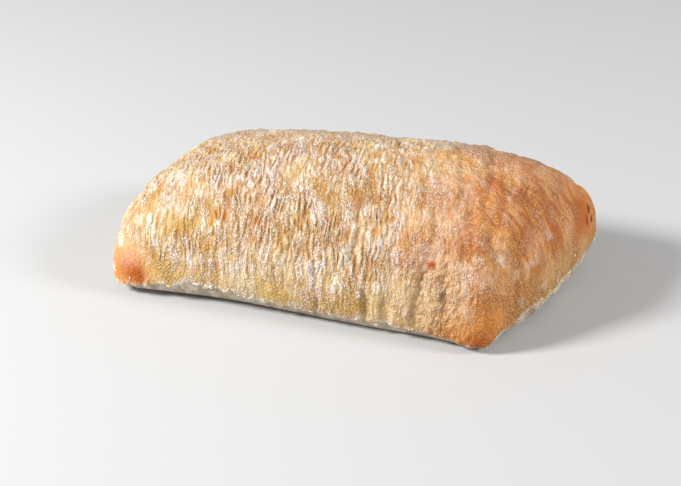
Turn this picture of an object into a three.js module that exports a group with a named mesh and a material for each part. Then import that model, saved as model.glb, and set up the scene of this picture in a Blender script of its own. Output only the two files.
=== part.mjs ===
// A ciabatta: one slipper-shaped loaf of white bread, baked as a single piece.
// Millimetres, +Z up. X runs along the loaf, -Y is its front side, and the origin is on the
// resting plane, under the middle of the loaf's box.
import * as THREE from "three";

// ---- Overall sizes ----
const length = 189; // along X at the rim, before the corners reach out
const width = 106; // along Y at the rim, before the corners reach out
const height = 59; // resting plane to crown, at the middle

// ---- Crown and plan shape: 2 is round, higher is squarer ----
const planSquareRim = 3.9; // plan outline at the rim
const planSquareCrown = 2.9; // plan outline near the top
const sectionSquareFront = 2.15; // slope of the front side, from rim to crown
const sectionSquareBack = 2.25; // slope of the back side
const sectionSquareEnd = 2.8; // slope of the two ends

// ---- Rim: the widest line round the loaf, where the top crust meets the pale underside ----
const rimHeight = 13; // at the middle of each side
const footInsetSide = 9; // from the rim in to the flat foot, on the long sides
const footInsetEnd = 10.5; // the same at the two ends

// ---- Corners, each with its own reach past the plan outline and its own rim height ----
// tip is a narrow pinch, left where the scraper cut the dough.
const corners = {
  frontLeft: { reach: 4.7, tip: 0.8, rim: 5 },
  frontRight: { reach: 0.6, tip: 5, rim: 5.5 },
  backLeft: { reach: 2.6, tip: 0.4, rim: 9 },
  backRight: { reach: 3.8, tip: 4, rim: 14.5 },
};

// ---- What handling the soft dough did to it ----
const riseToRight = 7; // how much higher the right end bakes than the middle
const riseToFront = 2; // how much higher the front half bakes than the middle
const narrowingToRight = 3.5; // half-width lost at the right end, and gained at the left
const frontWaist = 2.3; // how far the front side draws in at its middle
const bow = 0.6; // how far the middle bows back
const endSlant = 0.077; // sideways slant of both ends, as a slope
const endSplay = 0.082; // how much more the right end slants than the left
const frontLift = 1.7; // how far the front edge curls up off the surface
const frontLiftAt = -32; // where along X it curls up most
const frontLiftSpan = 34; // and over what half-span

// ---- Mesh fineness ----
const segmentsAround = 80;
const ringsOver = 36;

const quarterTurn = Math.PI / 2;
const halfLength = length / 2;
const halfWidth = width / 2;
const footStart = 0.5; // share of the lower half that the rounded underside takes

const mix = (a, b, t) => a + (b - a) * t;

function cornerOf(alongX, alongY) {
  const side = alongY < 0 ? "front" : "back";
  return corners[side + (alongX < 0 ? "Left" : "Right")];
}

// How far out from the middle (0) to the rim (1) a latitude lies, and how high: rise goes from 0
// at the rim to 1 at the crown, and drop from 0 at the rim to 1 at the foot.
function profileAt(latitude, sectionSquare) {
  if (latitude >= 0) {
    return {
      out: Math.cos(latitude * quarterTurn) ** (2 / sectionSquare),
      rise: Math.sin(latitude * quarterTurn) ** (2 / sectionSquare),
      inward: 0,
      drop: 0,
    };
  }
  const below = Math.min(-latitude / footStart, 1);
  return {
    out: Math.min((1 + latitude) / (1 - footStart), 1),
    rise: 0,
    inward: 1 - Math.cos(below * quarterTurn),
    drop: Math.sin(below * quarterTurn),
  };
}

// The point of the loaf's surface for a direction: turn is the angle round +Z from +X, and
// latitude runs from -1 at the middle of the foot through 0 at the rim to 1 at the crown.
function surfacePoint(turn, latitude) {
  const c = Math.cos(turn);
  const s = Math.sin(turn);
  const sectionSquareSide = mix(sectionSquareFront, sectionSquareBack, (1 + s) / 2);
  const sectionSquare = mix(sectionSquareSide, sectionSquareEnd, c ** 2);
  const { out, rise, inward, drop } = profileAt(latitude, sectionSquare);

  // Plan place, as shares of the half-length and half-width
  const planSquare = mix(planSquareCrown, planSquareRim, out ** 3);
  const planX = Math.sign(c) * Math.abs(c) ** (2 / planSquare);
  const planY = Math.sign(s) * Math.abs(s) ** (2 / planSquare);
  const insetX = (inward * footInsetEnd) / halfLength;
  const insetY = (inward * footInsetSide) / halfWidth;
  let shareX = planX * out * (1 - insetX);
  let shareY = planY * out * (1 - insetY);

  // Height, with the rim lower at the corners
  const corner = cornerOf(c, s);
  const diagonal = Math.min(Math.abs(2 * c * s), 1);
  const atCorner = diagonal ** 2.5;
  const rim = mix(rimHeight, corner.rim, atCorner);
  let z = mix(rim, height, rise) * (1 - drop);
  z *= 1 + (riseToRight * shareX + riseToFront * -shareY) / height;

  // Corners reach out
  const reach = corner.reach * atCorner * out ** 5 + corner.tip * diagonal ** 10 * out ** 8;
  shareX += (Math.sign(c) * reach) / halfLength;
  shareY += (Math.sign(s) * reach) / halfWidth;

  // Handling of the dough
  const middle = 1 - shareX ** 2;
  const towardsFront = Math.max(-shareY, 0);
  let x = shareX * halfLength;
  let y = shareY * (halfWidth - narrowingToRight * shareX);
  y += (bow + towardsFront * frontWaist) * middle;
  const curl = Math.exp(-(((x - frontLiftAt) / frontLiftSpan) ** 2)) * towardsFront ** 2;
  z += frontLift * curl * (1 - rise) * (1 - Math.min(z / height, 1));
  x += (endSlant + endSplay * shareX) * y;
  return new THREE.Vector3(x, y, z);
}

// A unit sphere's net, with each point moved to the loaf's surface.
function loafGeometry() {
  const geometry = new THREE.SphereGeometry(1, segmentsAround, ringsOver);
  geometry.rotateX(quarterTurn); // the sphere's poles onto Z
  const points = geometry.attributes.position;
  for (let i = 0; i < points.count; i += 1) {
    const turn = Math.atan2(points.getY(i), points.getX(i));
    const upward = THREE.MathUtils.clamp(points.getZ(i), -1, 1);
    const place = surfacePoint(turn, Math.asin(upward) / quarterTurn);
    points.setXYZ(i, place.x, place.y, place.z);
  }
  geometry.computeBoundingBox();
  const box = geometry.boundingBox;
  geometry.translate(-(box.min.x + box.max.x) / 2, -(box.min.y + box.max.y) / 2, -box.min.z);
  geometry.computeVertexNormals();
  return geometry;
}

function makeLoaf() {
  const crust = new THREE.MeshStandardMaterial({ color: 0xdcae72, roughness: 0.85, metalness: 0 });
  const loaf = new THREE.Mesh(loafGeometry(), crust);
  loaf.name = "loaf";
  return loaf;
}

const ciabatta = new THREE.Group();
ciabatta.name = "ciabatta";
ciabatta.add(makeLoaf());

export default ciabatta;
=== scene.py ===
import math
import bpy
import numpy as np
from mathutils import Matrix, Vector


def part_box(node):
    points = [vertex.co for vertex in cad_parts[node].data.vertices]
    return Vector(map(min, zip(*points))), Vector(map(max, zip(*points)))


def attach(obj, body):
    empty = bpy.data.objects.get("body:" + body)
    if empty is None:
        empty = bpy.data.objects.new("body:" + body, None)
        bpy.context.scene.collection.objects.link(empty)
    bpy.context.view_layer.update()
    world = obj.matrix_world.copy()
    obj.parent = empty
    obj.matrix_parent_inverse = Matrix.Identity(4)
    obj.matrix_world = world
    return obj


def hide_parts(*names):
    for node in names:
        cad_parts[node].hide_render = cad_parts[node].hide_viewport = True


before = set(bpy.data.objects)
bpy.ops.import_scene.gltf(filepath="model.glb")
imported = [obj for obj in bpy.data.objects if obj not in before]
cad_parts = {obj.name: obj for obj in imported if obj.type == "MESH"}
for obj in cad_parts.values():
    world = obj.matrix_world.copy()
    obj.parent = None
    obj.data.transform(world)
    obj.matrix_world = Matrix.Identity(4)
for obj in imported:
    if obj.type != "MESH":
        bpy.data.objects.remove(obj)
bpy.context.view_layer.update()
print("frame loaded")

mm = 0.001
quarterTurn = math.pi / 2

# The loaf's shape, in millimetres: the same rule and sizes as the solid it stands for
loaf = {
    "length": 189, "width": 106, "height": 59,
    "planSquareRim": 3.9, "planSquareCrown": 2.9,  # 2 is round, higher is squarer
    "sectionSquareFront": 2.15, "sectionSquareBack": 2.25, "sectionSquareEnd": 2.8,
    "rimHeight": 13, "footInsetSide": 9, "footInsetEnd": 10.5,
    "cornerReach": (4.7, 0.6, 2.6, 3.8),  # front left, front right, back left, back right
    "cornerTip": (0.8, 5, 0.4, 4),
    "cornerRim": (5, 5.5, 9, 14.5),
    "riseToRight": 7, "riseToFront": 2, "narrowingToRight": 3.5,
    "frontWaist": 2.3, "bow": 0.6, "endSlant": 0.077, "endSplay": 0.082,
    "frontLift": 1.7, "frontLiftAt": -32, "frontLiftSpan": 34,
    "cellsAlong": 320, "cellsAcross": 208,  # the net over the top
    "ringSquare": 2.4, "ringTable": 1000,  # for the even steps from the crown to the rim
    "undersideRings": 14,  # from the rim round to the flat foot
    "footRings": (0.96, 0.86, 0.7, 0.45),  # each has half the points of the one outside it
}


def addNode(tree, kind, inputs=None, **settings):
    node = tree.nodes.new(kind)
    for name, value in settings.items():
        setattr(node, name, value)
    for name, value in (inputs or {}).items():
        if isinstance(value, bpy.types.NodeSocket):
            tree.links.new(value, node.inputs[name])
        else:
            node.inputs[name].default_value = value
    return node


def calc(tree, operation, *values):
    inputs = dict(enumerate(values))
    return addNode(tree, "ShaderNodeMath", inputs, operation=operation).outputs[0]


def times(tree, value, *others):
    for other in others:
        value = calc(tree, "MULTIPLY", value, other)
    return value


def calcVector(tree, operation, *values):
    inputs = dict(enumerate(values))
    return addNode(tree, "ShaderNodeVectorMath", inputs, operation=operation).outputs[0]


def scaled(tree, vector, factor):
    inputs = {0: vector, "Scale": factor}
    return addNode(tree, "ShaderNodeVectorMath", inputs, operation="SCALE").outputs[0]


def inMillimetres(tree, place):
    return calcVector(tree, "MULTIPLY", place, (1000, 1000, 1000))


def ramp(tree, value, low, high, toLow=0.0, toHigh=1.0):
    inputs = {0: value, 1: low, 2: high, 3: toLow, 4: toHigh}
    return addNode(tree, "ShaderNodeMapRange", inputs, interpolation_type="SMOOTHSTEP").outputs[0]


def byShare(tree, share, atNone, atFull):
    return ramp(tree, share, 0.0, 1.0, atNone, atFull)


def noise(tree, place, size, detail=2.0, roughness=0.5, output=0):
    # size is one number or one for each axis, in the unit of place
    if isinstance(size, tuple):
        place, size = calcVector(tree, "DIVIDE", place, size), 1.0
    inputs = {"Vector": place, "Scale": 1 / size, "Detail": detail, "Roughness": roughness}
    return addNode(tree, "ShaderNodeTexNoise", inputs).outputs[output]


def swing(tree, place, size, detail=2.0, roughness=0.5):
    # A vector that wavers about zero
    wavering = noise(tree, place, size, detail, roughness, output=1)
    return calcVector(tree, "SUBTRACT", wavering, (0.5, 0.5, 0.5))


def cells(tree, place, size, feature, output="Distance"):
    inputs = {"Vector": calcVector(tree, "DIVIDE", place, size), "Scale": 1.0}
    return addNode(tree, "ShaderNodeTexVoronoi", inputs, feature=feature).outputs[output]


def cellChance(tree, place, size):
    # A random share that is the same all over a cell
    color = cells(tree, place, size, "F1", "Color")
    return addNode(tree, "ShaderNodeSeparateXYZ", {0: color}).outputs[0]


def blend(tree, factor, low, high):
    return addNode(tree, "ShaderNodeMix", {0: factor, 2: low, 3: high}).outputs[0]


def blendColor(tree, factor, low, high):
    inputs = {0: factor, 6: low, 7: high}
    return addNode(tree, "ShaderNodeMix", inputs, data_type="RGBA").outputs[2]


def thinned(tree, made, value, shares):
    # Each zone leaves its share of value where the zone is full
    for zone, share in shares.items():
        value = times(tree, value, byShare(tree, made[zone], 1.0, share))
    return value


def nearSpot(tree, place, middle, radius, softness=0.5):
    inputs = {0: place, 1: middle}
    away = addNode(tree, "ShaderNodeVectorMath", inputs, operation="DISTANCE").outputs["Value"]
    return ramp(tree, away, radius * (1 - softness), radius, 1.0, 0.0)


# The crust's patterns, in millimetres: their sizes, then how high or deep they are
crust = {
    "seedOffset": (51.0, 87.0, 33.0),
    "wander": (16.0, (5.0, 4.0, 4.0)), "jitter": (4.0, (0.8, 2.0, 2.0)),  # size and reach of two bends
    "slant": (0.26, 0.0, 0.0),  # shift of the wrinkles for each millimetre back
    "strand": (2.4, 11.0, 11.0), "fiber": (1.3, 5.5, 5.5), "bead": (2.9, 4.6, 4.6),
    "furrow": (8.0, 30.0, 30.0), "pebble": (1.9, 2.8, 2.8), "flake": (4.2, 8.0, 8.0),
    "lump": 12.0, "wave": 34.0, "strandPatch": 20.0, "grain": (0.9, 1.15, 1.15), "grit": 1.0,
    "flakeFrom": 0.82,  # cells with a chance over this hold a flake
    "strandHeight": 0.9, "fiberHeight": 0.5, "furrowHeight": 1.5, "lumpHeight": 1.0, "waveHeight": 1.8,
    "pebbleHeight": 0.8, "flakeHeight": 0.5, "tornStep": 0.9, "slitDepth": 0.3,
    # What is too fine for the net is bump
    "strandDepth": 0.75, "fiberDepth": 0.42, "pebbleDepth": 0.3, "grainDepth": 0.55, "clumpDepth": 0.4,
    "gritDepth": 0.16, "speckDepth": 0.1,
}

# Both ends of each zone's soft border, in millimetres along, back or up, and how far the border wanders
zones = {
    "rightSide": (15.0, 58.0), "rightEnd": (55.0, 90.0), "leftEnd": (-82.0, -52.0), "endWander": 60.0,
    "low": (10.0, 27.0), "fullStrands": (12.0, 42.0), "lowWander": 14.0,
    "furrows": (-30.0, 25.0), "calmer": (2.0, 22.0),
    "beads": (0.0, 30.0), "beadSlope": -0.35,  # their border lies further back to the right
    "backFlour": (2.0, 20.0), "backFlourRight": (60.0, 90.0),
    "backFlourDown": (32.0, 50.0), "downWander": 50.0,
    "oliveFades": (0.0, 60.0), "dimFlour": (20.0, 60.0),
    "smoothCorner": ((-83.0, -52.0, 12.0), 22.0, 0.7),  # middle, radius and softness
}

# The least and the most there is of each, on either side of its border
least = {"backFlour": 0.15, "calm": 0.5, "furrows": 0.3, "strands": 0.25, "strandPatch": 0.6}
most = {"beads": 0.85, "sidePebbles": 0.9, "endPebbles": 0.35, "backPebbles": 0.35, "leftPebbles": 0.4}

# What is left of each pattern where a zone is full
thinning = {
    "beads": {"rightSide": 0.0}, "strands": {"rightSide": 0.15, "smoothCorner": 0.1, "leftEnd": 0.6},
    "pebbles": {"smoothCorner": 0.2}, "crumbs": {"rightSide": 0.15},
    "dust": {"low": 0.55, "rightSide": 0.4, "rightEnd": 0.3, "smoothCorner": 0.35},
    "haze": {"rightEnd": 0.6}, "grain": {"smoothCorner": 0.4}, "tips": {"low": 0.5, "rightSide": 0.75},
    "pits": {"under": 0.4},
}

# The pale underside starts at a torn edge
underside = {
    # Shares of the way from the rim to the foot
    "start": 0.22, "frontStart": (0.16, 0.42), "tearReach": 0.2, "frontTearReach": 0.45,
    "fade": 0.07, "crumbBand": (-0.16, -0.02),
    # Millimetres
    "frontAlong": (-50.0, -15.0), "front": (-49.0, -40.0), "tear": 7.0, "smallTear": 2.2,
}

# Slits where the back right corner was pinched: middle and half-size, in millimetres
slits = (
    ((94.4, 36.5, 28.8), (3.0, 2.7, 2.2)),
    ((95.3, 37.0, 23.9), (3.0, 2.0, 2.0)),
    ((95.1, 30.5, 26.0), (3.0, 1.3, 2.8)),
)
slitWaver = {"size": 2.5, "reach": (3.0, 3.0, 3.0)}


def addCrustShapes(tree, made, seeded):
    moved = seeded
    for size, reach in (crust["wander"], crust["jitter"]):
        bend = calcVector(tree, "MULTIPLY", swing(tree, seeded, size), reach)
        moved = calcVector(tree, "ADD", moved, bend)
    moved = calcVector(tree, "ADD", moved, scaled(tree, crust["slant"], made["y"]))

    strand, flake = crust["strand"], crust["flake"]
    made["moved"] = moved
    made["strand"] = ramp(tree, cells(tree, moved, strand, "DISTANCE_TO_EDGE"), 0.0, 0.3)
    made["strandChance"] = cellChance(tree, moved, strand)
    made["bead"] = ramp(tree, cells(tree, moved, crust["bead"], "DISTANCE_TO_EDGE"), 0.0, 0.4)
    made["fiber"] = ramp(tree, noise(tree, moved, crust["fiber"]), 0.3, 0.7)
    made["pebble"] = ramp(tree, noise(tree, moved, crust["pebble"]), 0.3, 0.7)
    made["furrow"] = ramp(tree, noise(tree, moved, crust["furrow"], 1.0), 0.34, 0.56)
    isFlake = ramp(tree, cellChance(tree, moved, flake), crust["flakeFrom"], crust["flakeFrom"] + 0.01)
    made["flake"] = times(tree, ramp(tree, cells(tree, moved, flake, "F1"), 0.25, 0.5, 1.0, 0.0), isFlake)
    made["lump"] = noise(tree, seeded, crust["lump"])
    made["wave"] = noise(tree, seeded, crust["wave"], 1.0)


def addCrustZones(tree, made, place, seeded):
    x, y, z = made["x"], made["y"], made["z"]
    lump = calc(tree, "SUBTRACT", made["lump"], 0.5)
    wave = calc(tree, "SUBTRACT", made["wave"], 0.5)
    along = calc(tree, "ADD", x, times(tree, wave, zones["endWander"]))
    made["rightSide"] = ramp(tree, along, *zones["rightSide"])
    made["rightEnd"] = ramp(tree, along, *zones["rightEnd"])
    made["leftEnd"] = ramp(tree, along, *zones["leftEnd"], 1.0, 0.0)
    up = calc(tree, "ADD", z, times(tree, lump, zones["lowWander"]))
    made["low"] = ramp(tree, up, *zones["low"], 1.0, 0.0)
    made["smoothCorner"] = nearSpot(tree, place, *zones["smoothCorner"])

    # A band of flour along the top of the back, thinner at the right and down the back side; its flour is
    # painted grey as shade
    down = calc(tree, "MULTIPLY_ADD", lump, zones["downWander"], y)
    made["back"] = times(
        tree, ramp(tree, y, *zones["backFlour"]),
        ramp(tree, along, *zones["backFlourRight"], 1.0, least["backFlour"]),
        ramp(tree, down, *zones["backFlourDown"], 1.0, least["backFlour"]),
    )

    # Strands turn into beads towards the back and the left, but not at the right side
    beads = calc(tree, "MULTIPLY_ADD", x, zones["beadSlope"], y)
    beads = ramp(tree, beads, *zones["beads"], 0.0, most["beads"])
    beads = thinned(tree, made, beads, thinning["beads"])
    made["strand"] = blend(tree, beads, made["strand"], made["bead"])

    # How much of each kind there is: all calmer at the back, and pebbles for strands at the right
    calm = ramp(tree, y, *zones["calmer"], 1.0, least["calm"])
    furrows = ramp(tree, x, *zones["furrows"], least["furrows"], 1.0)
    made["furrowShare"] = times(tree, furrows, calm)
    patch = noise(tree, seeded, crust["strandPatch"], 1.0)
    patch = ramp(tree, patch, 0.35, 0.6, least["strandPatch"], 1.0)
    upward = ramp(tree, up, *zones["fullStrands"], least["strands"], 1.0)
    strands = thinned(tree, made, 1.0, thinning["strands"])
    made["strandShare"] = times(tree, strands, patch, calm, upward)
    pebbles = byShare(tree, made["rightEnd"], most["sidePebbles"], most["endPebbles"])
    pebbles = times(tree, made["rightSide"], pebbles)
    pebbles = calc(tree, "MAXIMUM", pebbles, times(tree, made["back"], most["backPebbles"]))
    pebbles = calc(tree, "MAXIMUM", pebbles, times(tree, made["leftEnd"], most["leftPebbles"]))
    made["pebbleShare"] = thinned(tree, made, times(tree, pebbles, calm), thinning["pebbles"])


def addTornEdge(tree, made, level, seeded):
    # Most ragged along the front, and nearest to the rim at the front's left
    made["front"] = ramp(tree, made["y"], *underside["front"], 1.0, 0.0)
    smallTears = times(tree, noise(tree, seeded, underside["smallTear"], 1.0), 0.5)
    torn = calc(tree, "ADD", noise(tree, seeded, underside["tear"], 1.0), smallTears)
    reach = byShare(tree, made["front"], underside["tearReach"], underside["frontTearReach"])
    torn = times(tree, calc(tree, "SUBTRACT", torn, 0.75), reach)
    start = ramp(tree, made["x"], *underside["frontAlong"], *underside["frontStart"])
    start = blend(tree, made["front"], underside["start"], start)
    past = calc(tree, "SUBTRACT", calc(tree, "ADD", torn, level), start)
    made["under"] = ramp(tree, past, 0.0, underside["fade"])
    over = calc(tree, "SUBTRACT", 1.0, made["under"])
    made["edge"] = times(tree, ramp(tree, past, *underside["crumbBand"]), over)


def addSlits(tree, made, place, seeded):
    waver = calcVector(tree, "MULTIPLY", swing(tree, seeded, slitWaver["size"]), slitWaver["reach"])
    place = calcVector(tree, "ADD", place, waver)
    made["slit"] = 0.0
    for middle, reach in slits:
        away = calcVector(tree, "DIVIDE", calcVector(tree, "SUBTRACT", place, middle), reach)
        away = addNode(tree, "ShaderNodeVectorMath", {0: away}, operation="LENGTH").outputs["Value"]
        made["slit"] = calc(tree, "MAXIMUM", ramp(tree, away, 0.5, 1.1, 1.0, 0.0), made["slit"])


def crustPattern(tree, place, level):
    # place is in millimetres, level is below 0 over the rim and above 0 under it;
    # every pattern that comes back runs from 0 to 1
    seeded = calcVector(tree, "ADD", place, crust["seedOffset"])
    x, y, z = addNode(tree, "ShaderNodeSeparateXYZ", {0: place}).outputs[:3]
    made = {"x": x, "y": y, "z": z}
    addCrustShapes(tree, made, seeded)
    addCrustZones(tree, made, place, seeded)
    addTornEdge(tree, made, level, seeded)
    addSlits(tree, made, place, seeded)
    return made


def between(a, b, share):
    return a + (b - a) * share


def loafPlaces(c, s, out, below):
    # c and s are the cosine and sine of the turn, out runs from 0 in the middle to 1 at the rim,
    # and below from 0 at the rim to 1 at the foot
    size = loaf
    side = between(size["sectionSquareFront"], size["sectionSquareBack"], (1 + s) / 2)
    section = between(side, size["sectionSquareEnd"], c ** 2)
    rise = np.where(below > 0, 0.0, np.clip(1 - out ** section, 0, 1) ** (1 / section))
    inward, drop = 1 - np.cos(below * quarterTurn), np.sin(below * quarterTurn)

    plan = between(size["planSquareCrown"], size["planSquareRim"], out ** 3)
    halfLength, halfWidth = size["length"] / 2, size["width"] / 2
    shareX = np.sign(c) * np.abs(c) ** (2 / plan) * out * (1 - inward * size["footInsetEnd"] / halfLength)
    shareY = np.sign(s) * np.abs(s) ** (2 / plan) * out * (1 - inward * size["footInsetSide"] / halfWidth)

    corner = np.where(s < 0, 0, 2) + np.where(c < 0, 0, 1)
    diagonal = np.clip(np.abs(2 * c * s), 0, 1)
    atCorner = diagonal ** 2.5
    rim = between(size["rimHeight"], np.array(size["cornerRim"])[corner], atCorner)
    z = between(rim, size["height"], rise) * (1 - drop)
    z = z * (1 + (size["riseToRight"] * shareX - size["riseToFront"] * shareY) / size["height"])
    reach = np.array(size["cornerReach"])[corner] * atCorner * out ** 5
    reach = reach + np.array(size["cornerTip"])[corner] * diagonal ** 10 * out ** 8
    shareX = shareX + np.sign(c) * reach / halfLength
    shareY = shareY + np.sign(s) * reach / halfWidth

    middle, towardsFront = 1 - shareX ** 2, np.clip(-shareY, 0, None)
    x = shareX * halfLength
    y = shareY * (halfWidth - size["narrowingToRight"] * shareX)
    y = y + (size["bow"] + towardsFront * size["frontWaist"]) * middle
    curl = np.exp(-(((x - size["frontLiftAt"]) / size["frontLiftSpan"]) ** 2)) * towardsFront ** 2
    z = z + size["frontLift"] * curl * (1 - rise) * (1 - np.clip(z / size["height"], 0, 1))
    x = x + (size["endSlant"] + size["endSplay"] * shareX) * y
    return np.stack([x, y, z], -1), below - rise


def evenRings(count):
    # Ring values that step evenly along the section, from the crown down to the rim
    angle = np.linspace(0, quarterTurn, 2 * count)
    power = 2 / loaf["ringSquare"]
    out, rise = np.sin(angle) ** power, np.cos(angle) ** power
    reach = (loaf["length"] + loaf["width"]) / 4
    drop = loaf["height"] - loaf["rimHeight"]
    steps = np.hypot(np.diff(out) * reach, np.diff(rise) * drop)
    walked = np.concatenate([[0], np.cumsum(steps)])
    return np.interp(np.linspace(0, walked[-1], count), walked, out)


def squareTurn(u, v, out):
    # The turn whose place on the plan outline lies in the direction (u, v) of the square net
    plan = between(loaf["planSquareCrown"], loaf["planSquareRim"], out ** 3)
    across, along = np.abs(v) ** (plan / 2), np.abs(u) ** (plan / 2)
    length = np.maximum(np.hypot(across, along), 1e-9)
    return np.sign(u) * along / length, np.sign(v) * across / length


def makeLoafMesh():
    countX, countY = loaf["cellsAlong"], loaf["cellsAcross"]
    u, v = np.meshgrid(np.linspace(-1, 1, countX + 1), np.linspace(-1, 1, countY + 1), indexing="ij")
    ring = np.maximum(np.abs(u), np.abs(v))
    count = loaf["ringTable"]
    out = np.interp(ring, np.linspace(0, 1, count), evenRings(count))
    scale = np.maximum(ring, 1e-9)
    c, s = squareTurn(u / scale, v / scale, out)
    top, topLevel = loafPlaces(c, s, out, np.zeros_like(out))
    number = np.arange(u.size).reshape(u.shape)
    faces = [
        (number[i, j], number[i + 1, j], number[i + 1, j + 1], number[i, j + 1])
        for i in range(countX) for j in range(countY)
    ]

    # The net's edge, once round, counter-clockwise from the front left corner
    edge = np.concatenate([number[:-1, 0], number[-1, :-1], number[:0:-1, -1], number[0, :0:-1]])
    edgeC, edgeS = c.ravel()[edge], s.ravel()[edge]
    places, levels = [top.reshape(-1, 3)], [topLevel.ravel()]
    total, outer = u.size, edge
    rings = loaf["undersideRings"]
    for ringNumber in range(1, rings + 1):
        ring, level = loafPlaces(edgeC, edgeS, np.ones_like(edgeC), np.full_like(edgeC, ringNumber / rings))
        places.append(ring)
        levels.append(level)
        inner = np.arange(total, total + len(edge))
        nextOuter, nextInner = np.roll(outer, -1), np.roll(inner, -1)
        faces += list(zip(outer, inner, nextInner, nextOuter))
        total, outer = total + len(edge), inner

    # The flat foot
    for share in loaf["footRings"]:
        edgeC, edgeS = edgeC[::2], edgeS[::2]
        ring, level = loafPlaces(edgeC, edgeS, np.full_like(edgeC, share), np.ones_like(edgeC))
        places.append(ring)
        levels.append(level)
        inner = np.arange(total, total + len(edgeC))
        first, middle, last = outer[::2], outer[1::2], np.roll(outer[::2], -1)
        faces += list(zip(first, inner, np.roll(inner, -1), last, middle))
        total, outer = total + len(edgeC), inner
    faces.append(tuple(outer[::-1]))

    place = np.concatenate(places)
    boxLow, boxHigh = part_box("loaf")
    shift = (np.array(boxLow) + np.array(boxHigh)) / 2 / mm - (place.min(0) + place.max(0)) / 2
    shift[2] = boxLow[2] / mm
    place = (place + shift) * mm
    mesh = bpy.data.meshes.new("ciabatta_loaf")
    mesh.from_pydata(place.tolist(), [], [tuple(int(n) for n in face) for face in faces])
    # Where each point lies before the relief moves it, and how far it is from the rim
    mesh.attributes.new("restPlace", "FLOAT_VECTOR", "POINT").data.foreach_set("vector", place.ravel())
    mesh.attributes.new("rimLevel", "FLOAT", "POINT").data.foreach_set("value", np.concatenate(levels))
    mesh.shade_smooth()
    mesh.validate()
    return mesh


def addInputs(tree, kinds):
    for name, kind in kinds.items():
        tree.interface.new_socket(name, in_out="INPUT", socket_type="NodeSocket" + kind)
    return tree.nodes.new("NodeGroupInput").outputs


def addOutputs(tree, kind, values):
    for name in values:
        tree.interface.new_socket(name, in_out="OUTPUT", socket_type="NodeSocket" + kind)
    addNode(tree, "NodeGroupOutput", values)


def named(tree, name, kind):
    return addNode(tree, "GeometryNodeInputNamedAttribute", {"Name": name}, data_type=kind).outputs[0]


# Which patterns stand up in the net, each with a height in the crust's sizes
reliefKinds = ("strand", "fiber", "furrow", "pebble", "flake", "lump", "wave")


def heightName(kind):
    return kind.title() + " Height"


def makeReliefTree():
    tree = bpy.data.node_groups.new("crust relief", "GeometryNodeTree")
    heights = {heightName(kind): "Float" for kind in reliefKinds}
    given = addInputs(tree, {
        "Geometry": "Geometry", **heights, "Torn Step": "Float", "Slit Depth": "Float",
        "Material": "Material",
    })
    place = inMillimetres(tree, addNode(tree, "GeometryNodeInputPosition").outputs[0])
    level = named(tree, "rimLevel", "FLOAT")
    made = crustPattern(tree, place, level)
    made["strand"] = times(tree, made["strand"], byShare(tree, made["strandChance"], 0.4, 1.0))
    shares = {
        "strand": made["strandShare"], "fiber": made["strandShare"], "furrow": made["furrowShare"],
        "pebble": made["pebbleShare"],
    }
    total = 0.0
    for kind in reliefKinds:
        height = times(tree, given[heightName(kind)], shares.get(kind, 1.0))
        lifted = times(tree, calc(tree, "SUBTRACT", made[kind], 0.5), height)
        total = calc(tree, "ADD", lifted, total)
    total = times(tree, total, ramp(tree, level, 0.05, 0.8, 1.0, 0.0))

    # The underside steps in at its torn edge, and back out before the flat foot
    step = times(tree, byShare(tree, made["front"], 0.25, 1.0), given["Torn Step"])
    step = times(tree, step, ramp(tree, level, 0.7, 0.98, 1.0, 0.0))
    total = calc(tree, "SUBTRACT", total, times(tree, made["under"], step))
    total = calc(tree, "SUBTRACT", total, times(tree, made["slit"], given["Slit Depth"]))
    normal = addNode(tree, "GeometryNodeInputNormal").outputs[0]
    offset = scaled(tree, normal, times(tree, total, mm))
    moved = addNode(tree, "GeometryNodeSetPosition", {"Geometry": given["Geometry"], "Offset": offset})
    real = addNode(tree, "GeometryNodeRealizeInstances", {"Geometry": moved.outputs[0]})
    dressing = {"Geometry": real.outputs[0], "Material": given["Material"]}
    dressed = addNode(tree, "GeometryNodeSetMaterial", dressing)
    addOutputs(tree, "Geometry", {"Geometry": dressed.outputs[0]})
    return tree


def applyTree(thing, tree, values):
    modifier = thing.modifiers.new(tree.name, "NODES")
    modifier.node_group = tree
    for item in tree.interface.items_tree:
        if item.in_out == "INPUT" and item.name in values:
            modifier[item.identifier] = values[item.name]
    ready = thing.evaluated_get(bpy.context.evaluated_depsgraph_get())
    mesh = bpy.data.meshes.new_from_object(ready)
    thing.modifiers.remove(modifier)
    thing.data = mesh


# Crumbs and flakes of flour and dry dough that cling to the rim and the top, sizes in millimetres
crumbs = {
    "seed": 7, "rimDensity": 170000.0, "topDensity": 2500.0,  # how many to a square metre of clumps
    "smallest": (0.2, 0.2, 0.12), "largest": (0.95, 0.7, 0.45), "roughness": 0.45, "roughSize": 0.7,
    "facesAround": 8, "facesUp": 6, "patchSize": 5.0, "gritSize": 0.5, "gritDepth": 0.15,
    # Where the front rim is torn: middle and radius; crumbs are so many times as many and as large there
    "tears": (((-57, -52.7, 8), 5), ((-46, -51.8, 9), 5), ((-39, -51.3, 9), 4), ((12, -48.6, 7), 5)),
    "tornTimes": 2.2,
}


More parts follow.
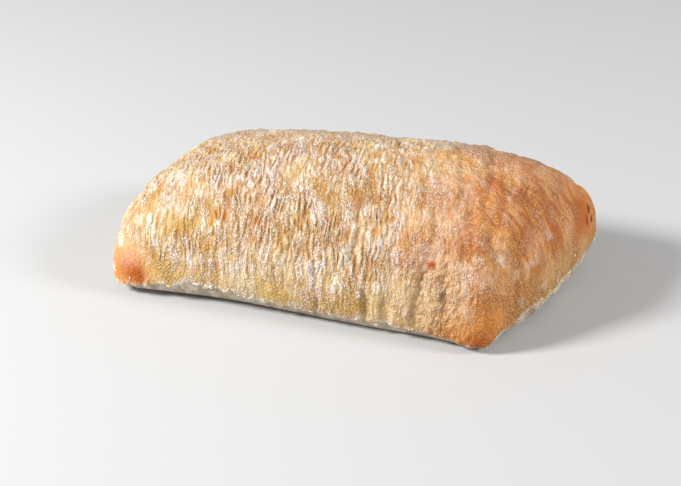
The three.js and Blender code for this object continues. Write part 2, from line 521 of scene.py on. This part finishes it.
def makeCrumbTree():
    tree = bpy.data.node_groups.new("clinging crumbs", "GeometryNodeTree")
    given = addInputs(tree, {
        "Geometry": "Geometry", "Rim Density": "Float", "Top Density": "Float", "Smallest": "Vector",
        "Largest": "Vector", "Roughness": "Float", "Seed": "Int", "Material": "Material",
    })
    level = named(tree, "rimLevel", "FLOAT")
    place = inMillimetres(tree, named(tree, "restPlace", "FLOAT_VECTOR"))
    made = crustPattern(tree, place, level)
    clumped = ramp(tree, made["lump"], 0.42, 0.56, 0.1, 1.0)
    top = thinned(tree, made, given["Top Density"], thinning["crumbs"])
    top = times(tree, top, ramp(tree, level, -0.1, 0.1, 1.0, 0.0))
    torn = 0.0
    for middle, radius in crumbs["tears"]:
        torn = calc(tree, "MAXIMUM", nearSpot(tree, place, middle, radius), torn)
    rim = times(tree, made["edge"], byShare(tree, torn, 1.0, crumbs["tornTimes"]))
    density = times(tree, calc(tree, "MULTIPLY_ADD", rim, given["Rim Density"], top), clumped)
    spread = {"Mesh": given["Geometry"], "Density": density, "Seed": given["Seed"]}
    points = addNode(tree, "GeometryNodeDistributePointsOnFaces", spread).outputs

    sphere = {"Radius": 1.0, "Segments": crumbs["facesAround"], "Rings": crumbs["facesUp"]}
    blob = addNode(tree, "GeometryNodeMeshUVSphere", sphere).outputs["Mesh"]
    drawn = {0: given["Smallest"], 1: given["Largest"], "Seed": given["Seed"]}
    size = addNode(tree, "FunctionNodeRandomValue", drawn, data_type="FLOAT_VECTOR").outputs[0]
    size = scaled(tree, size, byShare(tree, torn, mm, crumbs["tornTimes"] * mm))
    strewn = addNode(tree, "GeometryNodeInstanceOnPoints", {
        "Points": points["Points"], "Instance": blob, "Rotation": points["Rotation"], "Scale": size,
    })
    real = addNode(tree, "GeometryNodeRealizeInstances", {"Geometry": strewn.outputs[0]})

    # Each crumb gets a rough shape of its own
    place = inMillimetres(tree, addNode(tree, "GeometryNodeInputPosition").outputs[0])
    reach = times(tree, given["Roughness"], mm)
    offset = scaled(tree, swing(tree, place, crumbs["roughSize"]), reach)
    rough = addNode(tree, "GeometryNodeSetPosition", {"Geometry": real.outputs[0], "Offset": offset})
    dressing = {"Geometry": rough.outputs[0], "Material": given["Material"]}
    dressed = addNode(tree, "GeometryNodeSetMaterial", dressing)
    addOutputs(tree, "Geometry", {"Geometry": dressed.outputs[0]})
    return tree


colors = {
    "flour": (0.89, 0.85, 0.72, 1), "coolFlour": (0.84, 0.80, 0.80, 1),
    # The greyer and the darker flour on the next line are the flour with painted shade, for the band along
    # the top of the back
    "shadedFlour": (0.64, 0.62, 0.58, 1), "dimFlour": (0.42, 0.37, 0.32, 1),
    "lilac": (0.64, 0.33, 0.21, 1), "cream": (0.78, 0.625, 0.36, 1),
    # The deep gold on the next line colors the creases, partly as painted shade
    "gold": (0.68, 0.395, 0.105, 1), "deepGold": (0.42, 0.15, 0.02, 1), "yellow": (0.71, 0.52, 0.17, 1),
    # The darkest brown on the next line is painted shadow for the slits
    "toast": (0.78, 0.36, 0.10, 1), "brown": (0.55, 0.15, 0.022, 1), "darkBrown": (0.09, 0.012, 0.004, 1),
    "olive": (0.69, 0.45, 0.13, 1), "paleGold": (0.58, 0.38, 0.14, 1),
    "haze": (0.74, 0.52, 0.37, 1), "blush": (0.84, 0.55, 0.40, 1), "orange": (0.74, 0.28, 0.05, 1),
    "rust": (0.55, 0.15, 0.02, 1), "redBrown": (0.48, 0.095, 0.008, 1),
    # The two pit colors on the next line are painted shade for the pits between the granules
    "pit": (0.36, 0.15, 0.035, 1), "redPit": (0.32, 0.085, 0.015, 1),
    "underside": (0.74, 0.67, 0.54, 1), "underShade": (0.46, 0.40, 0.30, 1),
}

# Sizes of the patterns that only color the crust, in millimetres
patchSizes = {
    "base": (9.0, 14.4, 14.4), "yellow": 24.0, "deep": 9.0, "streak": (12.0, 1.5, 13.0),
    "haze": (9.0, 9.0, 13.5), "clump": (5.0, 10.0, 10.0), "dusty": (11.0, 14.3, 14.3), "coolFlour": 15.0,
    "coarse": 13.0,
}

# How much each layer covers of what is under it: at most, or where its zone is empty and where it is full
strengths = {
    "yellow": 0.55, "crease": (0.75, 0.95), "toast": (0.5, 0.95), "pebbleCrease": 0.65, "haze": 0.6,
    "olive": (0.75, 0.35), "paleGold": (0.3, 0.9), "flakes": (0.9, 0.35), "settled": (0.65, 1.0),
    "edgeFlour": (0.2, 0.95), "tips": 0.42, "pits": (0.65, 0.62), "smallPits": 0.4,
}

# Colored spots of the crust, and one pool of painted light among the broad ones: color, middle and radius
# in millimetres, strength. Broad ones lie under the flour, small ones over it.
broadSpots = (
    ("orange", (-84, -51, 11), 20, 0.95), ("orange", (74, -46, 8), 22, 0.85),
    ("brown", (-81, -53, 14), 15, 0.45), ("brown", (76, -46, 10), 15, 0.4),
    ("orange", (93, 36, 28), 24, 0.75), ("toast", (80, -34, 28), 17, 0.6),
    ("orange", (77, -42, 18), 15, 0.6), ("brown", (-19, -47, 33), 7, 0.4),
    # The cream spot on the next line is painted light: it brightens the crust at the front right, where the
    # key lamp grazes
    ("brown", (39, -41, 44), 9, 0.4), ("brown", (66, -35, 43), 8, 0.4), ("cream", (54, -46, 24), 22, 0.55),
)
smallSpots = (
    ("lilac", (-79.5, -54, 15), 7, 0.8), ("redBrown", (-76.5, -54, 10.8), 8, 1.0),
    ("redBrown", (75, -47.5, 6.5), 7, 0.7), ("redBrown", (53, -43, 34.6), 3.4, 1.0),
    ("blush", (52, -42, 37), 3, 0.6), ("rust", (91, 28, 30), 17, 1.0),
    ("coolFlour", (-57.8, -11.6, 51.1), 3.4, 0.7), ("coolFlour", (-58.7, -23.7, 48.8), 3, 0.7),
    ("coolFlour", (-64, -29.3, 45.4), 3, 0.7), ("coolFlour", (-66.9, -50.7, 25.9), 3, 0.5),
    ("flour", (70.9, -38.5, 37.1), 3, 0.55), ("flour", (78.5, -32.2, 35.9), 2.8, 0.5),
    ("flour", (87.1, -21.7, 30.9), 2.6, 0.4), ("flour", (88.5, -3.5, 34.8), 3.4, 0.4),
)
spotEdge = {"size": 0.6, "reach": 1.2, "softness": 0.85}  # how ragged, as shares of the spot's radius


def makeGritGroup():
    group = bpy.data.node_groups.new("fine grit", "ShaderNodeTree")
    given = addInputs(group, {"Place": "Vector", "Size": "Float"})
    place = scaled(group, given["Place"], calc(group, "DIVIDE", 1.0, given["Size"]))
    grit = ramp(group, noise(group, place, 1.0, 2.0, 0.6), 0.33, 0.67)
    aside = calcVector(group, "ADD", place, (40.0, 0.0, 0.0))
    speck = ramp(group, noise(group, aside, 0.6, 1.0), 0.3, 0.7)
    addOutputs(group, "Float", {"Grit": grit, "Speck": speck})
    return group


gritGroup = makeGritGroup()


def addGrit(tree, place, size):
    inputs = {"Place": place, "Size": size}
    return addNode(tree, "ShaderNodeGroup", inputs, node_tree=gritGroup).outputs[:2]


def addSpots(tree, place, base, spots):
    for name, middle, radius, strength in spots:
        ragged = swing(tree, place, radius * spotEdge["size"], 4.0, 0.7)
        reach = radius * spotEdge["reach"]
        around = calcVector(tree, "ADD", place, calcVector(tree, "MULTIPLY", ragged, (reach,) * 3))
        spot = nearSpot(tree, around, middle, radius, spotEdge["softness"])
        base = blendColor(tree, times(tree, spot, strength), base, colors[name])
    return base


def creamAndGold(tree, made, place):
    base = blendColor(tree, ramp(tree, made["patches"], 0.32, 0.56), colors["gold"], colors["cream"])
    yellow = ramp(tree, noise(tree, place, patchSizes["yellow"]), 0.42, 0.62, 0.0, strengths["yellow"])
    base = blendColor(tree, yellow, base, colors["yellow"])
    ridge = times(tree, made["strand"], made["fiber"], made["strandShare"])
    base = blendColor(tree, ridge, base, colors["cream"])
    # Creases between the strands are darker, deep gold and rust in places: partly the crust's deeper tone,
    # partly painted shade
    crease = ramp(tree, calc(tree, "MINIMUM", made["strand"], made["fiber"]), 0.0, 0.6, 1.0, 0.0)
    deep = ramp(tree, noise(tree, place, patchSizes["deep"]), 0.5, 0.68)
    crease = times(tree, crease, made["strandShare"], byShare(tree, deep, *strengths["crease"]))
    return blendColor(tree, crease, base, blendColor(tree, deep, colors["deepGold"], colors["rust"]))


def toastedEnd(tree, made, place, base):
    rightSide, rightEnd = made["rightSide"], made["rightEnd"]
    streaky = calc(tree, "SUBTRACT", made["streak"], 0.5)
    streaky = calc(tree, "MULTIPLY_ADD", streaky, rightEnd, made["patches"])
    toasted = blendColor(tree, ramp(tree, streaky, 0.40, 0.60), colors["brown"], colors["toast"])
    toast = times(tree, rightSide, byShare(tree, rightEnd, *strengths["toast"]))
    base = blendColor(tree, toast, base, toasted)
    # Darker brown between the pebbles: painted shade in the hollows
    crease = ramp(tree, made["pebble"], 0.0, 0.5, strengths["pebbleCrease"], 0.0)
    base = blendColor(tree, times(tree, crease, made["pebbleShare"]), base, colors["brown"])
    haze = noise(tree, place, patchSizes["haze"], 3.0, 0.6)
    haze = ramp(tree, haze, 0.47, 0.66, 0.0, strengths["haze"])
    haze = times(tree, thinned(tree, made, haze, thinning["haze"]), rightSide)
    return blendColor(tree, haze, base, colors["haze"])


def lowBand(tree, made, level, base):
    # Olive low down, weaker to the right, and pale gold over the rim of the right end
    olive = times(tree, made["low"], ramp(tree, made["x"], *zones["oliveFades"], *strengths["olive"]))
    base = blendColor(tree, olive, base, colors["olive"])
    pale = ramp(tree, made["streak"], 0.3, 0.6, *strengths["paleGold"])
    pale = times(tree, ramp(tree, level, -0.42, -0.05), pale, made["rightEnd"])
    return blendColor(tree, pale, base, colors["paleGold"])


def dustShare(tree, made, place):
    # How much flour lies on what stands up
    patchy = ramp(tree, noise(tree, place, patchSizes["dusty"]), 0.38, 0.58, 0.07, -0.09)
    dust = times(
        tree, ramp(tree, calc(tree, "SUBTRACT", made["clump"], patchy), 0.36, 0.5),
        ramp(tree, made["strandChance"], 0.2, 0.8, 0.35, 1.0),
        ramp(tree, made["fiber"], 0.1, 0.7, 0.25, 1.0),
    )
    dust = thinned(tree, made, dust, thinning["dust"])
    flakes = times(tree, made["flake"], byShare(tree, made["rightSide"], *strengths["flakes"]))
    dust = calc(tree, "MAXIMUM", dust, flakes)
    settled = ramp(tree, made["strand"], 0.0, 0.6, *strengths["settled"])
    settled = times(tree, ramp(tree, patchy, -0.06, 0.05, 1.0, 0.6), settled)
    dust = calc(tree, "MAXIMUM", dust, times(tree, made["back"], settled))
    return times(tree, dust, ramp(tree, made["grit"], 0.0, 0.8, 0.45, 1.0))


def flourAndUnderside(tree, made, place, base):
    cool = ramp(tree, noise(tree, place, patchSizes["coolFlour"]), 0.42, 0.58)
    flour = blendColor(tree, cool, colors["flour"], colors["coolFlour"])
    # The flour on the back band is painted in shade, darker towards the right
    shaded = ramp(tree, made["x"], *zones["dimFlour"])
    shaded = blendColor(tree, shaded, colors["shadedFlour"], colors["dimFlour"])
    base = blendColor(tree, made["dust"], base, blendColor(tree, made["back"], flour, shaded))
    floury = ramp(tree, made["clump"], 0.35, 0.5, *strengths["edgeFlour"])
    base = blendColor(tree, times(tree, made["edge"], floury), base, colors["flour"])
    under = ramp(tree, made["clump"], 0.35, 0.6)
    under = blendColor(tree, under, colors["underShade"], colors["underside"])
    return blendColor(tree, made["under"], base, under)


def fineGrain(tree, made, base):
    # Floury granules with darker pits between them; the darker pits are painted shade
    rightSide, grain, coarse = made["rightSide"], made["grain"], made["coarse"]
    tips = times(tree, ramp(tree, grain, 0.45, 0.85), coarse, strengths["tips"])
    tips = thinned(tree, made, tips, thinning["tips"])
    base = blendColor(tree, tips, base, blendColor(tree, rightSide, colors["flour"], colors["blush"]))
    pits = times(tree, ramp(tree, grain, 0.0, 0.3, 1.0, 0.0), coarse)
    pits = times(tree, pits, byShare(tree, rightSide, *strengths["pits"]))
    smallPits = calc(tree, "MINIMUM", made["grit"], made["speck"])
    smallPits = ramp(tree, smallPits, 0.0, 0.3, strengths["smallPits"], 0.0)
    pits = calc(tree, "MAXIMUM", pits, smallPits)
    pits = thinned(tree, made, pits, thinning["pits"])
    return blendColor(tree, pits, base, blendColor(tree, rightSide, colors["pit"], colors["redPit"]))


def newMaterial(name):
    material = bpy.data.materials.new(name)
    material.use_nodes = True
    material.node_tree.nodes.clear()
    return material, material.node_tree


def makeCrustMaterial():
    material, tree = newMaterial("baked crust")
    rest = addNode(tree, "ShaderNodeAttribute", attribute_name="restPlace").outputs["Vector"]
    place = inMillimetres(tree, rest)
    level = addNode(tree, "ShaderNodeAttribute", attribute_name="rimLevel").outputs["Fac"]
    made = crustPattern(tree, place, level)
    moved = made["moved"]
    made["grit"], made["speck"] = addGrit(tree, place, crust["grit"])
    made["patches"] = noise(tree, moved, patchSizes["base"], 3.0, 0.6)
    made["streak"] = noise(tree, moved, patchSizes["streak"])
    made["clump"] = noise(tree, moved, patchSizes["clump"], 4.0, 0.65)
    grain = ramp(tree, cells(tree, moved, crust["grain"], "F1"), 0.12, 0.65, 1.0, 0.0)
    chance = cellChance(tree, moved, crust["grain"])
    made["grain"] = times(tree, grain, byShare(tree, chance, 0.3, 1.0))
    coarse = ramp(tree, noise(tree, place, patchSizes["coarse"]), 0.38, 0.6, 0.4, 1.0)
    made["coarse"] = thinned(tree, made, coarse, thinning["grain"])
    made["dust"] = dustShare(tree, made, place)

    base = creamAndGold(tree, made, place)
    base = toastedEnd(tree, made, place, base)
    base = lowBand(tree, made, level, base)
    base = addSpots(tree, place, base, broadSpots)
    base = flourAndUnderside(tree, made, place, base)
    base = addSpots(tree, place, base, smallSpots)
    # The slits are painted almost black: painted shadow inside them, over a shallow dent
    base = blendColor(tree, made["slit"], base, colors["darkBrown"])
    base = fineGrain(tree, made, base)

    shares = {
        "strand": made["strandShare"], "fiber": made["strandShare"], "pebble": made["pebbleShare"],
        "grain": made["coarse"],
    }
    height = 0.0
    for kind in ("clump", "strand", "fiber", "pebble", "grain", "grit", "speck"):
        depth = times(tree, crust[kind + "Depth"], shares.get(kind, 1.0))
        height = calc(tree, "MULTIPLY_ADD", made[kind], depth, height)
    bump = addNode(tree, "ShaderNodeBump", {"Height": height, "Strength": 1.0, "Distance": mm})
    rough = byShare(tree, made["dust"], 0.7, 0.95)
    shader = addNode(tree, "ShaderNodeBsdfPrincipled", {
        "Base Color": base, "Roughness": rough, "Normal": bump.outputs[0], "Specular IOR Level": 0.2,
    })
    addNode(tree, "ShaderNodeOutputMaterial", {"Surface": shader.outputs[0]})
    return material


def makeCrumbMaterial():
    material, tree = newMaterial("flour crumb")
    place = inMillimetres(tree, addNode(tree, "ShaderNodeTexCoord").outputs["Object"])
    grit, speck = addGrit(tree, place, crumbs["gritSize"])
    creamy = ramp(tree, noise(tree, place, crumbs["patchSize"]), 0.35, 0.65)
    base = blendColor(tree, creamy, colors["flour"], colors["cream"])
    base = blendColor(tree, ramp(tree, speck, 0.0, 0.4, 0.5, 0.0), base, colors["gold"])
    bumpInputs = {"Height": grit, "Strength": 0.8, "Distance": crumbs["gritDepth"] * mm}
    bump = addNode(tree, "ShaderNodeBump", bumpInputs)
    shader = addNode(tree, "ShaderNodeBsdfPrincipled", {
        "Base Color": base, "Roughness": 0.95, "Normal": bump.outputs[0],
    })
    addNode(tree, "ShaderNodeOutputMaterial", {"Surface": shader.outputs[0]})
    return material


def addObject(name, data):
    thing = bpy.data.objects.new(name, data)
    bpy.context.scene.collection.objects.link(thing)
    return thing


crustMaterial = makeCrustMaterial()
loafPiece = addObject("ciabatta_loaf", makeLoafMesh())
applyTree(loafPiece, makeReliefTree(), {
    **{heightName(kind): crust[kind + "Height"] for kind in reliefKinds},
    "Torn Step": crust["tornStep"], "Slit Depth": crust["slitDepth"], "Material": crustMaterial,
})
print("loaf", len(loafPiece.data.polygons), "faces", len(loafPiece.data.loop_triangles), "triangles")

crumbMaterial = makeCrumbMaterial()
crumbPiece = addObject("flour_crumbs", loafPiece.data)
applyTree(crumbPiece, makeCrumbTree(), {
    "Rim Density": crumbs["rimDensity"], "Top Density": crumbs["topDensity"],
    "Smallest": crumbs["smallest"], "Largest": crumbs["largest"], "Roughness": crumbs["roughness"],
    "Seed": crumbs["seed"], "Material": crumbMaterial,
})
print("crumbs", len(crumbPiece.data.polygons), "faces")
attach(crumbPiece, "root")
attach(loafPiece, "root")
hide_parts("loaf")


studio = {
    "azimuth": 24.435, "elevation": 27.85, "roll": -1.96,  # degrees
    "distance": 0.72, "target": (-0.0145, 0.0209, 0.0), "lens": 84.68,
    "floorSize": 6.0, "floorColor": (0.55, 0.55, 0.55, 1), "world": 0.38,
}


def towards(azimuth, elevation):
    a, e = math.radians(azimuth), math.radians(elevation)
    return Vector((math.sin(a) * math.cos(e), -math.cos(a) * math.cos(e), math.sin(e)))


def makeCamera():
    data = bpy.data.cameras.new("camera")
    data.lens = studio["lens"]
    camera = addObject("camera", data)
    back = towards(studio["azimuth"], studio["elevation"])
    level = back.to_track_quat("Z", "Y").to_matrix().to_4x4()
    roll = Matrix.Rotation(math.radians(studio["roll"]), 4, "Z")
    place = Vector(studio["target"]) + back * studio["distance"]
    camera.matrix_world = Matrix.Translation(place) @ level @ roll
    bpy.context.scene.camera = camera


def makeFloor():
    half = studio["floorSize"] / 2
    mesh = bpy.data.meshes.new("floor")
    corners = [(-half, -half, 0), (half, -half, 0), (half, half, 0), (-half, half, 0)]
    mesh.from_pydata(corners, [], [(0, 1, 2, 3)])
    floor = addObject("floor", mesh)
    material = bpy.data.materials.new("floor paper")
    material.use_nodes = True
    shader = material.node_tree.nodes["Principled BSDF"]
    shader.inputs["Base Color"].default_value = studio["floorColor"]
    shader.inputs["Roughness"].default_value = 0.9
    mesh.materials.append(material)


def addSoftLight(name, azimuth, elevation, distance, size, power):
    data = bpy.data.lights.new(name, "AREA")
    data.shape, data.size, data.energy = "DISK", size, power
    light = addObject(name, data)
    back = towards(azimuth, elevation)
    turn = back.to_track_quat("Z", "Y").to_matrix().to_4x4()
    light.matrix_world = Matrix.Translation(back * distance) @ turn


makeCamera()
makeFloor()
addSoftLight("key", azimuth=-54, elevation=37, distance=1.2, size=0.3, power=19)
addSoftLight("fill", azimuth=95, elevation=32, distance=1.3, size=0.4, power=9)
world = bpy.data.worlds.new("studio")
world.use_nodes = True
background = world.node_tree.nodes["Background"]
background.inputs["Color"].default_value = (1, 1, 1, 1)
background.inputs["Strength"].default_value = studio["world"]
bpy.context.scene.world = world
bpy.context.scene.view_settings.view_transform = "Standard"
print("studio set")
